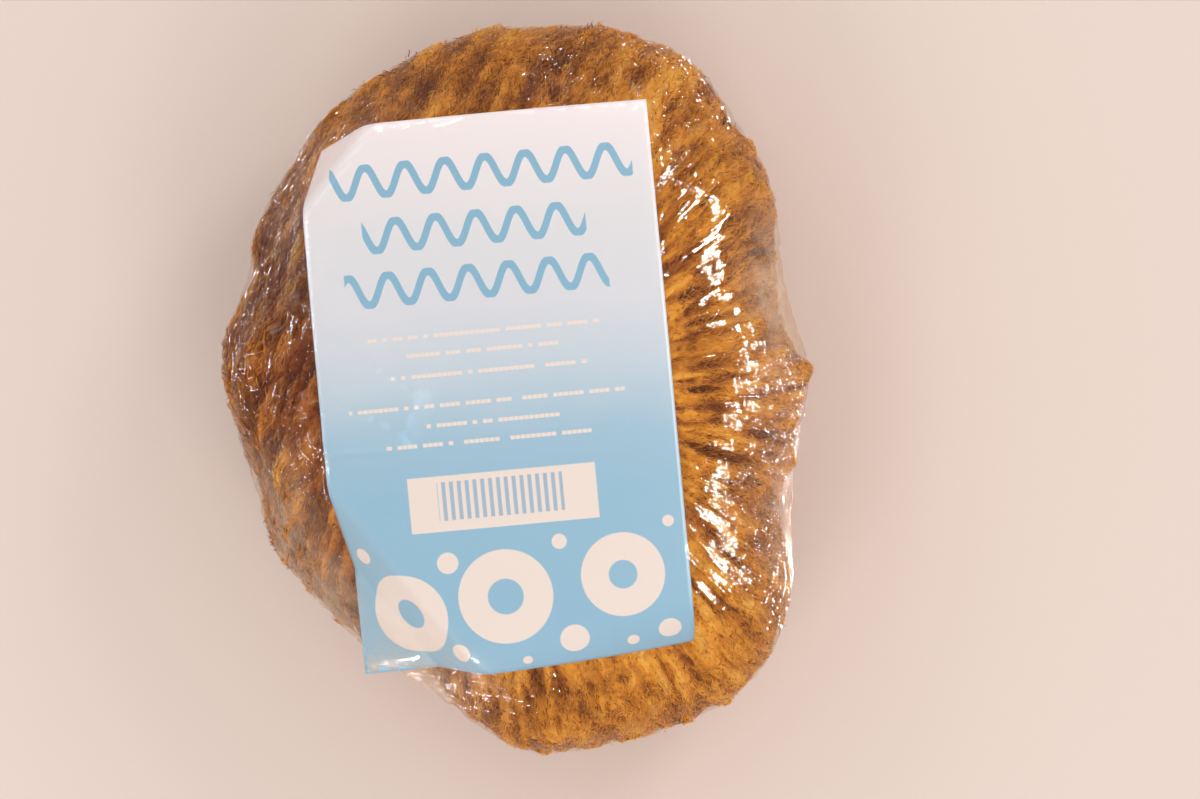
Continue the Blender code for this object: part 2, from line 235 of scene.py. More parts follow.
class PolarSkin:
    """A closed skin round the sponge's middle, whose points only move in and out.

    It starts as a sphere primitive. Its points are read as rings from the crown to the back, and
    a reach for each point is all that shapes it.
    """

    def __init__(self, name: str, segments: int, rings: int, middle: Vector) -> None:
        """Add the sphere and learn which point belongs to which ring and segment.

        Args:
            name: Name of the piece.
            segments: Points round each ring.
            rings: Bands of faces from the crown to the back.
            middle: The point that reaches are taken from.
        """
        select_only(None)
        bpy.ops.mesh.primitive_uv_sphere_add(segments=segments, ring_count=rings, radius=1.0)
        self.piece = bpy.context.object
        self.piece.name = name
        self.piece.data.name = name
        self.middle = middle
        start = read_points(self.piece.data)
        ring = np.rint(np.arccos(np.clip(start[:, 2], -1, 1)) * rings / math.pi).astype(int)
        segment = np.rint(np.arctan2(start[:, 1], start[:, 0]) * segments / TAU).astype(int) % segments
        self.index = np.zeros((rings - 1, segments), dtype=int)
        inside = (ring > 0) & (ring < rings)
        self.index[ring[inside] - 1, segment[inside]] = np.nonzero(inside)[0]
        self.crown = int(np.argmax(start[:, 2]))
        self.back = int(np.argmin(start[:, 2]))
        polar = Bands().angles(np.arange(1, rings) / rings)[:, None]
        around = (np.arange(segments) * TAU / segments)[None, :]
        self.angle = np.broadcast_to(around, self.index.shape)
        self.directions = np.stack([
            np.sin(polar) * np.cos(around),
            np.sin(polar) * np.sin(around),
            np.cos(polar) * np.ones_like(around),
        ], axis=-1)

    def points(self, reach: np.ndarray) -> np.ndarray:
        """Places of the ring points for a reach, from the middle."""
        return self.directions * reach[..., None]

    def to_level(self, depth: float) -> np.ndarray:
        """Reach in each direction down to a level below the middle, huge for those that rise."""
        return depth / np.maximum(-self.directions[..., 2], 1e-6)

    def outermost(self, piece: bpy.types.Object) -> np.ndarray:
        """Reach of a piece's outer side in each direction, zero where there is none.

        Args:
            piece: The piece that is looked at from outside.

        Returns:
            One reach for each ring point.
        """
        tree = surface_of(piece)
        found = []
        for direction in self.directions.reshape(-1, 3):
            away = Vector(direction)
            distance = tree.ray_cast(self.middle + away * FAR, -away)[3]
            found.append(0.0 if distance is None else max(0.0, FAR - distance))
        return np.array(found).reshape(self.angle.shape)

    def innermost(self, piece: bpy.types.Object) -> np.ndarray:
        """Reach of a piece's inner side in each direction, endless where there is none.

        Args:
            piece: The piece that is looked at from the middle.

        Returns:
            One reach for each ring point.
        """
        tree = surface_of(piece)
        found = []
        for direction in self.directions.reshape(-1, 3):
            distance = tree.ray_cast(self.middle, Vector(direction))[3]
            found.append(np.inf if distance is None else distance)
        return np.array(found).reshape(self.angle.shape)

    def shape(self, reach: np.ndarray, crown: float, back: float) -> None:
        """Move every point to its reach.

        Args:
            reach: Reach of each ring point.
            crown: Reach of the point at the top.
            back: Reach of the point at the bottom.
        """
        placed = np.zeros((len(self.piece.data.vertices), 3))
        placed[self.index.reshape(-1)] = self.points(reach).reshape(-1, 3)
        placed[self.crown] = (0.0, 0.0, crown)
        placed[self.back] = (0.0, 0.0, -back)
        move_points(self.piece.data, placed + np.array(self.middle))

    def mark(self, name: str, values: np.ndarray) -> None:
        """Give every point of the skin a value that the finish can read.

        Args:
            name: Name of the value.
            values: Value of each ring point.
        """
        spread = np.full(len(self.piece.data.vertices), float(values.mean()))
        spread[self.index.reshape(-1)] = values.reshape(-1)
        spread[self.crown] = values[0].mean()
        spread[self.back] = values[-1].mean()
        mark_points(self.piece.data, name, spread)


def neighbours(values: np.ndarray) -> list[np.ndarray]:
    """The values above, below, left and right of each one of a ring grid.

    Args:
        values: The grid.

    Returns:
        Four grids of the same size.
    """
    return [
        np.concatenate([values[:1], values[:-1]]), np.concatenate([values[1:], values[-1:]]),
        np.roll(values, 1, axis=1), np.roll(values, -1, axis=1),
    ]


def evened(values: np.ndarray, rounds: int) -> np.ndarray:
    """Average each value of a ring grid with its neighbours, some rounds over.

    Args:
        values: The grid.
        rounds: How many times it is averaged.

    Returns:
        The evened grid.
    """
    for _ in range(rounds):
        values = (sum(neighbours(values)) + 2 * values) / 6
    return values


def widened(values: np.ndarray, rounds: int, fall: float) -> np.ndarray:
    """Carry high values on past their edges, falling by a little from point to point.

    Args:
        values: The grid.
        rounds: How many points far they are carried.
        fall: What they lose from one point to the next.

    Returns:
        The widened grid.
    """
    for _ in range(rounds):
        values = np.maximum(values, np.maximum.reduce(neighbours(values)) - fall)
    return values


def spread_out(values: np.ndarray, stride: int, shape: tuple[int, int]) -> np.ndarray:
    """Fill a ring grid from every stride-th of its values, evenly in between.

    Args:
        values: The coarse grid.
        stride: Points of the full grid for each coarse one.
        shape: Rows and columns of the full grid.

    Returns:
        The full grid.
    """
    rows = np.minimum(np.arange(shape[0]) / stride, values.shape[0] - 1)
    above = np.floor(rows).astype(int)
    below = np.minimum(above + 1, values.shape[0] - 1)
    share = (rows - above)[:, None]
    filled = values[above] * (1 - share) + values[below] * share
    columns = np.arange(shape[1]) / stride
    left = np.floor(columns).astype(int)
    share = (columns - left)[None, :]
    return filled[:, left] * (1 - share) + filled[:, (left + 1) % values.shape[1]] * share


def surface_of(piece: bpy.types.Object) -> BVHTree:
    """Search tree of a piece's own mesh."""
    mesh = piece.data
    points = [vertex.co for vertex in mesh.vertices]
    return BVHTree.FromPolygons(points, [tuple(face.vertices) for face in mesh.polygons])


class Nodes:
    """Short ways to build a material's nodes."""

    def __init__(self, name: str) -> None:
        """Start an empty material.

        Args:
            name: Name of the material.
        """
        self.material = bpy.data.materials.new(name)
        self.material.use_nodes = True
        self.tree = self.material.node_tree
        self.tree.nodes.clear()

    def add(self, kind: str, settings: dict | None = None, **inputs: Value) -> bpy.types.Node:
        """Add a node.

        Args:
            kind: Blender's name of the node's type, without the leading ShaderNode.
            settings: Values of the node's own properties.
            inputs: Values or sockets for its inputs, by name or by i and number.

        Returns:
            The new node.
        """
        node = self.tree.nodes.new("ShaderNode" + kind)
        for key, value in (settings or {}).items():
            setattr(node, key, value)
        for key, value in inputs.items():
            socket = node.inputs[int(key[1:])] if key[0] == "i" and key[1:].isdigit() else (
                node.inputs[key.replace("_", " ")])
            if isinstance(value, Socket):
                self.tree.links.new(value, socket)
            else:
                socket.default_value = value
        return node

    def math(self, operation: str, first: Value, second: Value = 0.0, third: Value = 0.0) -> Socket:
        """One arithmetic step, as a socket."""
        return self.add("Math", {"operation": operation}, i0=first, i1=second, i2=third).outputs[0]

    def times(self, first: Value, second: Value) -> Socket:
        """Two values multiplied, as a socket."""
        return self.math("MULTIPLY", first, second)

    def off(self, value: Value, middle: Value) -> Socket:
        """How far a value is off a middle, as a socket."""
        return self.math("ABSOLUTE", self.math("SUBTRACT", value, middle))

    def mark(self, name: str) -> Socket:
        """A value that the piece's points carry, as a socket."""
        return self.add("Attribute", {"attribute_name": name}).outputs["Fac"]

    def coated(
        self, colour: Value, roughness: float, gloss: float, **inputs: Value,
    ) -> bpy.types.Node:
        """A shader of one colour or socket, its roughness and how strongly it mirrors."""
        return self.add("BsdfPrincipled", Base_Color=colour, Roughness=roughness,
                        Specular_IOR_Level=gloss, **inputs)

    def ramp(self, factor: Value, stops: list[tuple[float, tuple]]) -> Socket:
        """A colour ramp through some stops, as a socket.

        Args:
            factor: What picks the colour.
            stops: Place and colour of each stop.

        Returns:
            The colour.
        """
        node = self.add("ValToRGB", i0=factor)
        while len(node.color_ramp.elements) < len(stops):
            node.color_ramp.elements.new(0.5)
        for element, (place, colour) in zip(node.color_ramp.elements, stops):
            element.position = place
            element.color = colour
        return node.outputs[0]

    def mix(self, factor: Value, first: Value, second: Value) -> Socket:
        """Two colours mixed, as a socket."""
        return self.add("Mix", {"data_type": "RGBA"}, i0=factor, i6=first, i7=second).outputs[2]

    def share(self, value: Value, start: float, end: float) -> Socket:
        """Ease a value from 0 at start to 1 at end, as a socket."""
        node = self.add("MapRange", {"interpolation_type": "SMOOTHSTEP"}, i0=value, i1=start, i2=end)
        return node.outputs[0]

    def noise(self, place: Value, scale: float, detail: float, roughness: float = 0.5) -> Socket:
        """Noise at a place, as a socket."""
        node = self.add("TexNoise", Vector=place, Scale=scale, Detail=detail, Roughness=roughness)
        return node.outputs[0]

    def finish(self, shader: bpy.types.Node) -> bpy.types.Material:
        """Send a shader to the output and give back the material."""
        output = self.add("OutputMaterial")
        self.tree.links.new(shader.outputs[0], output.inputs["Surface"])
        return self.material


@dataclass(frozen=True)
class SpongeFinish:
    """Ochre sponge, with painted shade that turns it brown in its hollows and painted light that makes it
    paler where fibres stand up.

    Its blotches and specks each have a scale, a roughness and a share in the colour.
    """

    name: str
    # Darkest to palest: hollow and low are painted shade for pits and fibre roots, ridge and tip are
    # painted light on what stands up.
    hollow: tuple = srgb(112, 48, 13)
    low: tuple = srgb(174, 98, 29)
    ridge: tuple = srgb(238, 158, 46)
    tip: tuple = srgb(255, 198, 92)
    roughness: float = 0.92
    gloss: float = 0.08
    blotches: tuple[float, float, float] = (38.0, 0.6, 0.26)
    specks: tuple[float, float, float] = (900.0, 0.7, 0.36)
    levels: tuple[float, float, float, float] = (0.0, 0.34, 0.64, 1.0)
    grit_scale: float = 1500.0
    grit_strength: float = 0.5
    grit_depth: float = 0.3 * MM

    def material(self) -> bpy.types.Material:
        """Make the finish."""
        nodes = Nodes(self.name)
        place = nodes.add("TexCoord").outputs["Object"]
        # The point value called height carries the painted shade and painted light given to the sponge and
        # its fibres.
        level = nodes.mark("height")
        for scale, roughness, share in (self.blotches, self.specks):
            mottle = nodes.noise(place, scale, 3.0, roughness)
            level = nodes.math("ADD", level, nodes.math("MULTIPLY_ADD", mottle, share, -share / 2))
        colours = (self.hollow, self.low, self.ridge, self.tip)
        colour = nodes.ramp(level, list(zip(self.levels, colours)))
        grit = nodes.noise(place, self.grit_scale, 4.0, 0.75)
        bump = nodes.add("Bump", Strength=self.grit_strength, Distance=self.grit_depth, Height=grit)
        return nodes.finish(nodes.coated(colour, self.roughness, self.gloss, Normal=bump.outputs[0]))


@dataclass(frozen=True)
class Row:
    """A printed wavy line or row of dashes: its level, middle, length and where a wave starts."""

    level: float
    middle: float
    length: float
    start: float = 0.0


@dataclass(frozen=True)
class Bubble:
    """A printed ring or disc: its middle on the sheet, radius and stroke."""

    across: float
    along: float
    radius: float
    stroke: float


@dataclass(frozen=True)
class PrintFinish:
    """Satin paper printed from near white down to sky blue, with waves, dashes and bubbles.

    All places on the print are in millimetres from the sheet's middle.
    """

    name: str
    width: float
    height: float
    soft: float = 0.14
    white: tuple = srgb(242, 228, 221)
    ink: tuple = srgb(136, 186, 215)
    stripe: tuple = srgb(166, 190, 212)
    gradient: tuple = (
        (0.0, srgb(146, 191, 219)), (0.33, srgb(150, 194, 220)), (0.43, srgb(163, 199, 222)),
        (0.54, srgb(200, 216, 230)), (0.66, srgb(222, 225, 234)), (0.78, srgb(228, 229, 235)),
        (1.0, srgb(250, 240, 243)),
    )
    swing: float = 3.1
    wavelength: float = 9.0
    stroke: float = 1.7
    waves: tuple[Row, ...] = (
        Row(50.0, 1.0, 68.0), Row(37.6, -1.5, 50.0, 2.2), Row(25.6, -2.0, 59.0, 4.1),
    )
    dashes: tuple[Row, ...] = (
        Row(14.4, -1.5, 52.0), Row(10.3, -2.0, 34.0), Row(5.6, -1.0, 44.0),
        Row(-1.2, -2.0, 62.0), Row(-5.6, -1.0, 30.0), Row(-9.8, -2.5, 46.0),
    )
    dash_height: float = 0.85
    dash_cell: float = 1.15
    dash_share: float = 0.46
    gap_chance: float = 0.2
    panel: tuple[float, float, float, float] = (-0.5, -23.1, 21.0, 6.2)
    bars: tuple[float, float, float, float] = (-1.0, -22.6, 14.0, 4.3)
    bar_spacing: float = 1.75
    bar_edge: float = 0.3
    mottle_scale: float = 0.035
    mottle_share: float = 0.08
    roughness: float = 0.5
    gloss: float = 0.3
    bubbles: tuple[Bubble, ...] = (
        Bubble(-25.5, -48.5, 10.2, 6.4), Bubble(-2.0, -45.0, 10.6, 6.6), Bubble(24.5, -42.5, 9.4, 6.2),
        Bubble(12.5, -56.0, 3.3, 6.6), Bubble(-13.6, -57.2, 2.3, 4.6), Bubble(-14.2, -36.4, 2.4, 4.8),
        Bubble(34.0, -56.2, 2.6, 5.2), Bubble(-35.0, -34.6, 2.0, 4.0), Bubble(11.0, -33.8, 1.7, 3.4),
        Bubble(25.6, -58.2, 1.4, 2.8), Bubble(35.6, -31.5, 1.3, 2.6), Bubble(1.6, -60.2, 1.1, 2.2),
    )

    def within(self, nodes: Nodes, value: Value, middle: float, half: float) -> Socket:
        """1 where a value is nearer to the middle than half, with a soft edge."""
        return nodes.share(nodes.off(value, middle), half + self.soft, half - self.soft)

    def waved(self, nodes: Nodes, across: Socket, along: Socket) -> Socket:
        """Cover of the wavy lines.

        Args:
            nodes: The material's nodes.
            across: Place across the sheet.
            along: Place up the sheet.

        Returns:
            1 on the print and 0 off it.
        """
        cover = 0.0
        for wave in self.waves:
            turn = nodes.math("MULTIPLY_ADD", across, TAU / self.wavelength, wave.start)
            bent = nodes.math("SUBTRACT", along, nodes.times(nodes.math("SINE", turn), self.swing))
            lean = nodes.times(nodes.math("COSINE", turn), self.swing * TAU / self.wavelength)
            spread = nodes.math("SQRT", nodes.math("MULTIPLY_ADD", lean, lean, 1.0))
            past = nodes.math("SUBTRACT", nodes.off(bent, wave.level), nodes.times(spread, self.stroke / 2))
            line = nodes.share(past, self.soft, -self.soft)
            ends = self.within(nodes, across, wave.middle, wave.length / 2)
            cover = nodes.math("MAXIMUM", nodes.times(line, ends), cover)
        return cover

    def dashed(self, nodes: Nodes, across: Socket, along: Socket) -> Socket:
        """Cover of the rows of fine dashes.

        Args:
            nodes: The material's nodes.
            across: Place across the sheet.
            along: Place up the sheet.

        Returns:
            1 on the print and 0 off it.
        """
        cover = 0.0
        size = self.dash_cell
        for row in self.dashes:
            cell = nodes.math("FLOOR", nodes.math("DIVIDE", across, size))
            place = nodes.add("CombineXYZ", i0=cell, i1=row.level).outputs[0]
            chance = nodes.add("TexWhiteNoise", {"noise_dimensions": "2D"}, i0=place).outputs[0]
            inside = nodes.times(nodes.math("FRACT", nodes.math("DIVIDE", across, size)), size)
            mark = self.within(nodes, inside, size / 2, self.dash_share * size)
            mark = nodes.times(mark, nodes.math("GREATER_THAN", chance, self.gap_chance))
            line = (row.middle, row.level, row.length / 2, self.dash_height / 2)
            mark = nodes.times(mark, self.boxed(nodes, across, along, line))
            cover = nodes.math("MAXIMUM", mark, cover)
        return cover

    def boxed(
        self, nodes: Nodes, across: Socket, along: Socket, box: tuple[float, float, float, float],
    ) -> Socket:
        """Cover of an upright box, given by its middle and half sizes."""
        wide = self.within(nodes, across, box[0], box[2])
        return nodes.times(wide, self.within(nodes, along, box[1], box[3]))

    def bubbled(self, nodes: Nodes, flat: Socket) -> Socket:
        """Cover of the rings and discs.

        Args:
            nodes: The material's nodes.
            flat: Place on the sheet.

        Returns:
            1 on the print and 0 off it.
        """
        cover = 0.0
        for bubble in self.bubbles:
            middle = (bubble.across, bubble.along, 0.0)
            far = nodes.add("VectorMath", {"operation": "DISTANCE"}, i0=flat, i1=middle).outputs["Value"]
            ring = bubble.radius - bubble.stroke / 2
            cover = nodes.math("MAXIMUM", self.within(nodes, far, ring, bubble.stroke / 2), cover)
        return cover

    def material(self) -> bpy.types.Material:
        """Make the finish."""
        nodes = Nodes(self.name)
        sheet = nodes.add("TexCoord").outputs["UV"]
        size = (self.width / MM, self.height / MM, 1.0)
        flat = nodes.add("VectorMath", {"operation": "MULTIPLY_ADD"}, i0=sheet, i1=size,
                         i2=(-size[0] / 2, -size[1] / 2, 0.0)).outputs[0]
        across, along = nodes.add("SeparateXYZ", i0=flat).outputs[:2]
        up = nodes.math("MULTIPLY_ADD", along, 1 / size[1], 0.5)
        mottle = nodes.noise(flat, self.mottle_scale, 3.0, 0.6)
        uneven = nodes.math("MULTIPLY_ADD", mottle, self.mottle_share, -self.mottle_share / 2)
        paper = nodes.ramp(nodes.math("ADD", up, uneven), self.gradient)
        colour = nodes.mix(self.waved(nodes, across, along), paper, self.ink)
        colour = nodes.mix(self.dashed(nodes, across, along), colour, self.white)
        colour = nodes.mix(self.boxed(nodes, across, along, self.panel), colour, self.white)
        beat = nodes.math("SINE", nodes.times(across, TAU / self.bar_spacing))
        bars = nodes.share(beat, -self.bar_edge, self.bar_edge)
        bars = nodes.times(bars, self.boxed(nodes, across, along, self.bars))
        colour = nodes.mix(bars, colour, self.stripe)
        colour = nodes.mix(self.bubbled(nodes, flat), colour, self.white)
        return nodes.finish(nodes.coated(colour, self.roughness, self.gloss))


@dataclass(frozen=True)
class PlainFinish:
    """A plain finish that mirrors nothing, with a little grain in its colour."""

    name: str
    colour: tuple
    roughness: float
    variation: float = 0.03
    scale: float = 60.0

    def material(self) -> bpy.types.Material:
        """Make the finish."""
        nodes = Nodes(self.name)
        place = nodes.add("TexCoord").outputs["Object"]
        mottle = nodes.noise(place, self.scale, 3.0)
        darker = tuple(channel * (1 - self.variation) for channel in self.colour[:3]) + (1.0,)
        colour = nodes.mix(mottle, self.colour, darker)
        return nodes.finish(nodes.coated(colour, self.roughness, 0.0))


@dataclass(frozen=True)
class FilmFinish:
    """Clear glossy film: it lets most light through, and mirrors more the flatter it is seen."""

    name: str
    middle: Vector
    tint: tuple = (0.985, 0.98, 0.975, 1.0)
    gloss_roughness: float = 0.045
    haze_colour: tuple = srgb(255, 228, 200)
    gloss_colour: tuple = (1.0, 0.94, 0.86, 1.0)
    straight_mirror: float = 0.011
    grazing_mirror: float = 0.22
    ripples: tuple[float, float] = (52.0, 5.0)
    folds: tuple[float, float] = (7.0, 34.0)
    fold_width: float = 0.13
    fold_share: float = 3.5
    crumple_scale: float = 260.0
    crumple_share: float = 0.6
    bump_strength: float = 0.8
    bump_depth: float = 0.4 * MM
    cloud_scale: float = 170.0
    cloud_range: tuple[float, float] = (0.1, 0.9)

    def round_middle(self, nodes: Nodes, around: float, down: float) -> Socket:
        """Place for noise with its own fineness round the sponge and from its crown to its back.

        Args:
            nodes: The material's nodes.
            around: Fineness round the sponge.
            down: Fineness from crown to back.

        Returns:
            The place.
        """
        place = nodes.add("TexCoord").outputs["Object"]
        moved = nodes.add("VectorMath", {"operation": "SUBTRACT"}, i0=place, i1=tuple(self.middle))
        side, along, up = nodes.add("SeparateXYZ", i0=moved.outputs[0]).outputs
        radius = nodes.math("SQRT", nodes.math("ADD", nodes.times(side, side), nodes.times(along, along)))
        radius = nodes.math("MAXIMUM", radius, 1.0 * MM)
        return nodes.add(
            "CombineXYZ",
            i0=nodes.times(nodes.math("DIVIDE", side, radius), around),
            i1=nodes.times(nodes.math("DIVIDE", along, radius), around),
            i2=nodes.times(nodes.math("ARCTAN2", radius, up), down),
        ).outputs[0]

    def material(self) -> bpy.types.Material:
        """Make the finish."""
        nodes = Nodes(self.name)
        place = nodes.add("TexCoord").outputs["Object"]
        radial = nodes.noise(self.round_middle(nodes, *self.ripples), 1.0, 2.0, 0.5)
        crumple = nodes.noise(place, self.crumple_scale, 2.0, 0.6)
        height = nodes.math("ADD", radial, nodes.times(crumple, self.crumple_share))
        wave = nodes.noise(self.round_middle(nodes, *self.folds), 1.0, 1.0, 0.4)
        fold = nodes.times(nodes.share(nodes.off(wave, 0.5), self.fold_width, 0.0), nodes.mark("folded"))
        height = nodes.math("MULTIPLY_ADD", fold, self.fold_share, height)
        bump = nodes.add("Bump", Strength=self.bump_strength, Distance=self.bump_depth,
                         Height=nodes.times(height, nodes.mark("slack"))).outputs[0]
        clear = nodes.add("BsdfTransparent", Color=self.tint)
        gloss = nodes.add("BsdfGlossy", Color=self.gloss_colour, Roughness=self.gloss_roughness,
                          Normal=bump)
        milk = nodes.add("BsdfDiffuse", Color=self.haze_colour)
        facing = nodes.add("LayerWeight", Blend=0.5).outputs["Facing"]
        grazing = nodes.math("POWER", facing, 5.0)
        mirror = nodes.math("MULTIPLY_ADD", grazing, self.grazing_mirror, self.straight_mirror)
        cloud = nodes.share(nodes.noise(place, self.cloud_scale, 4.0, 0.6), *self.cloud_range)
        milky = nodes.times(cloud, nodes.mark("haze"))
        hazy = nodes.add("MixShader", i0=milky, i1=clear.outputs[0], i2=milk.outputs[0])
        shader = nodes.add("MixShader", i0=mirror, i1=hazy.outputs[0], i2=gloss.outputs[0])
        return nodes.finish(shader)


@dataclass(frozen=True)
class Patch:
    """A round part of the sponge as seen from above, in millimetres from its middle.

    Its strength is whatever the part is made for, such as how milky the film is there.
    """

    x: float
    y: float
    wide: float
    high: float
    strength: float = 1.0

    def at(self, points: np.ndarray) -> np.ndarray:
        """Its strength at each point, fading out from its middle."""
        across = (points[..., 0] / MM - self.x) / self.wide
        along = (points[..., 1] / MM - self.y) / self.high
        return self.strength * np.exp(-across ** 2 - along ** 2)


def together(patches: tuple[Patch, ...], points: np.ndarray) -> np.ndarray:
    """Strength of some patches together at each point."""
    return sum(patch.at(points) for patch in patches)


@dataclass
class Sponge:
    """The sponge's surface: its lumps, ridges, pits and streaks.

    Its tones say how much lumps, ridges, pits, streaks, crumbs and hollows each brighten it, which paints
    shade into the pits and hollows and light onto what stands up; painted shade also darkens the left and
    the top, and painted light brightens the bottom.
    """

    middle: Vector
    segments: int = 620
    rings: int = 150
    swell: float = 1.2 * MM
    lump_height: float = 0.45 * MM
    ridge_height: float = 0.26 * MM
    pit_depth: float = 1.7 * MM
    streak_height: float = 0.16 * MM
    crumb_height: float = 0.16 * MM
    lumps: Grain = Grain(4.6 * MM, 40, 5.0 * MM)
    ridges: Grain = Grain(1.7 * MM, 41, 4.6 * MM)
    streaks: Grain = Grain(0.85 * MM, 42, 3.2 * MM)
    pits: Grain = Grain(1.3 * MM, 43, 5.0 * MM)
    crumbs: Grain = Grain(0.9 * MM, 44)
    pit_range: tuple[float, float] = (1.35, 2.6)
    hollow_pits: float = 1.1
    evening: int = 120
    line_evening: int = 20
    lean_start: float = math.radians(13.4)
    lean_swing: float = math.radians(36)
    lean_from: float = math.radians(62)
    under_insert: float = 0.5 * MM
    insert_slope: float = 0.4 * MM
    insert_edge: int = 3
    floor: float = 35.0 * MM
    hollows: tuple[Patch, ...] = (
        Patch(8.7, 71.0, 11.0, 8.0), Patch(42.0, -2.0, 5.0, 24.0), Patch(-2.0, -71.0, 12.0, 7.0),
        Patch(-50.7, 4.2, 9.0, 9.0), Patch(-48.6, 28.6, 6.0, 14.0), Patch(-11.0, 69.5, 9.0, 5.0),
    )
    bulges: tuple[Patch, ...] = (
        Patch(66.0, -2.6, 3.0, 3.0, 3.0 * MM), Patch(60.0, -45.0, 12.0, 18.0, 1.5 * MM),
        Patch(-60.0, 31.0, 5.0, 4.0, -2.2 * MM),
    )
    # Tones paint shade into pits and hollows and paint light onto lumps, ridges, streaks and crumbs.
    tone: float = 0.58
    tones: tuple[float, ...] = (0.07, 0.09, -0.25, 0.07, 0.05, -0.14)
    left_range: tuple[float, float] = (10.0 * MM, 50.0 * MM)
    end_range: tuple[float, float] = (40.0 * MM, 70.0 * MM)
    # Painted shade on the left, away from the key light, and on the top; painted light at the bottom.
    left_painted_shade: float = 0.32
    top_painted_shade: float = 0.03
    bottom_painted_light: float = 0.06

    def fibre_lines(self, skin: PolarSkin, reach: np.ndarray) -> np.ndarray:
        """The way the fibres run at each point of a skin.

        They cross the outline at the right, lean over more and more round the top and the left,
        and have turned by half a turn at the bottom.

        Args:
            skin: The skin whose points are asked for.
            reach: The reach of its points.

        Returns:
            One direction for each point.
        """
        placed = skin.points(reach)
        down = unit(np.gradient(placed, axis=0))
        around = np.roll(placed, -1, axis=1) - np.roll(placed, 1, axis=1)
        around = unit(around - down * np.sum(around * down, axis=-1, keepdims=True))
        lean = self.lean_swing * np.cos(skin.angle - self.lean_from) - skin.angle / 2 - self.lean_start
        return down * np.cos(lean)[..., None] + around * np.sin(lean)[..., None]

    def build(self, insert: bpy.types.Object) -> bpy.types.Object:
        """Shape the sponge's surface under the insert.

        Args:
            insert: The insert that lies on the sponge.

        Returns:
            The finished piece.
        """
        skin = PolarSkin("sponge_surface", self.segments, self.rings, self.middle)
        plain = evened(skin.outermost(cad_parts["sponge"]), self.evening) + self.swell
        lines = self.fibre_lines(skin, evened(plain, self.line_evening))
        placed = skin.points(plain)
        lumps = self.lumps.combed(placed, lines)
        ridges = self.ridges.combed(placed, lines)
        streaks = self.streaks.combed(placed, lines)
        crumbs = self.crumbs.at(placed)
        hollow = together(self.hollows, placed)
        pits = smooth_share(self.hollow_pits * hollow - self.pits.combed(placed, lines), *self.pit_range)
        relief = self.lump_height * lumps + self.ridge_height * ridges
        relief = relief + self.streak_height * streaks + self.crumb_height * crumbs
        relief = relief - self.pit_depth * pits + together(self.bulges, placed)
        under = skin.innermost(insert)
        limit = -widened(self.under_insert - under, self.insert_edge, self.insert_slope)
        reach = np.minimum(np.minimum(plain + relief, limit), skin.to_level(self.floor))
        skin.shape(reach, reach[0].mean(), self.floor)
        # The colour level follows the relief: painted shade in pits and hollows, painted light on what
        # stands up.
        forms = (lumps, ridges, pits, streaks, crumbs, hollow)
        height = self.tone + sum(share * form for share, form in zip(self.tones, forms))
        # Painted shade towards the left and the top, painted light towards the bottom.
        height = height - self.left_painted_shade * smooth_share(-placed[..., 0], *self.left_range)
        height = height - self.top_painted_shade * smooth_share(placed[..., 1], *self.end_range)
        height = height + self.bottom_painted_light * smooth_share(-placed[..., 1], *self.end_range)
        skin.mark("height", np.clip(height, 0.0, 1.0))
        self.skin, self.lines, self.reach, self.under, self.height = skin, lines, reach, under, height
        piece = skin.piece
        make_smooth(piece)
        piece.data.materials.append(SpongeFinish("ochre_sponge").material())
        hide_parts("sponge")
        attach(piece, BODY)
        report(piece)
        return piece


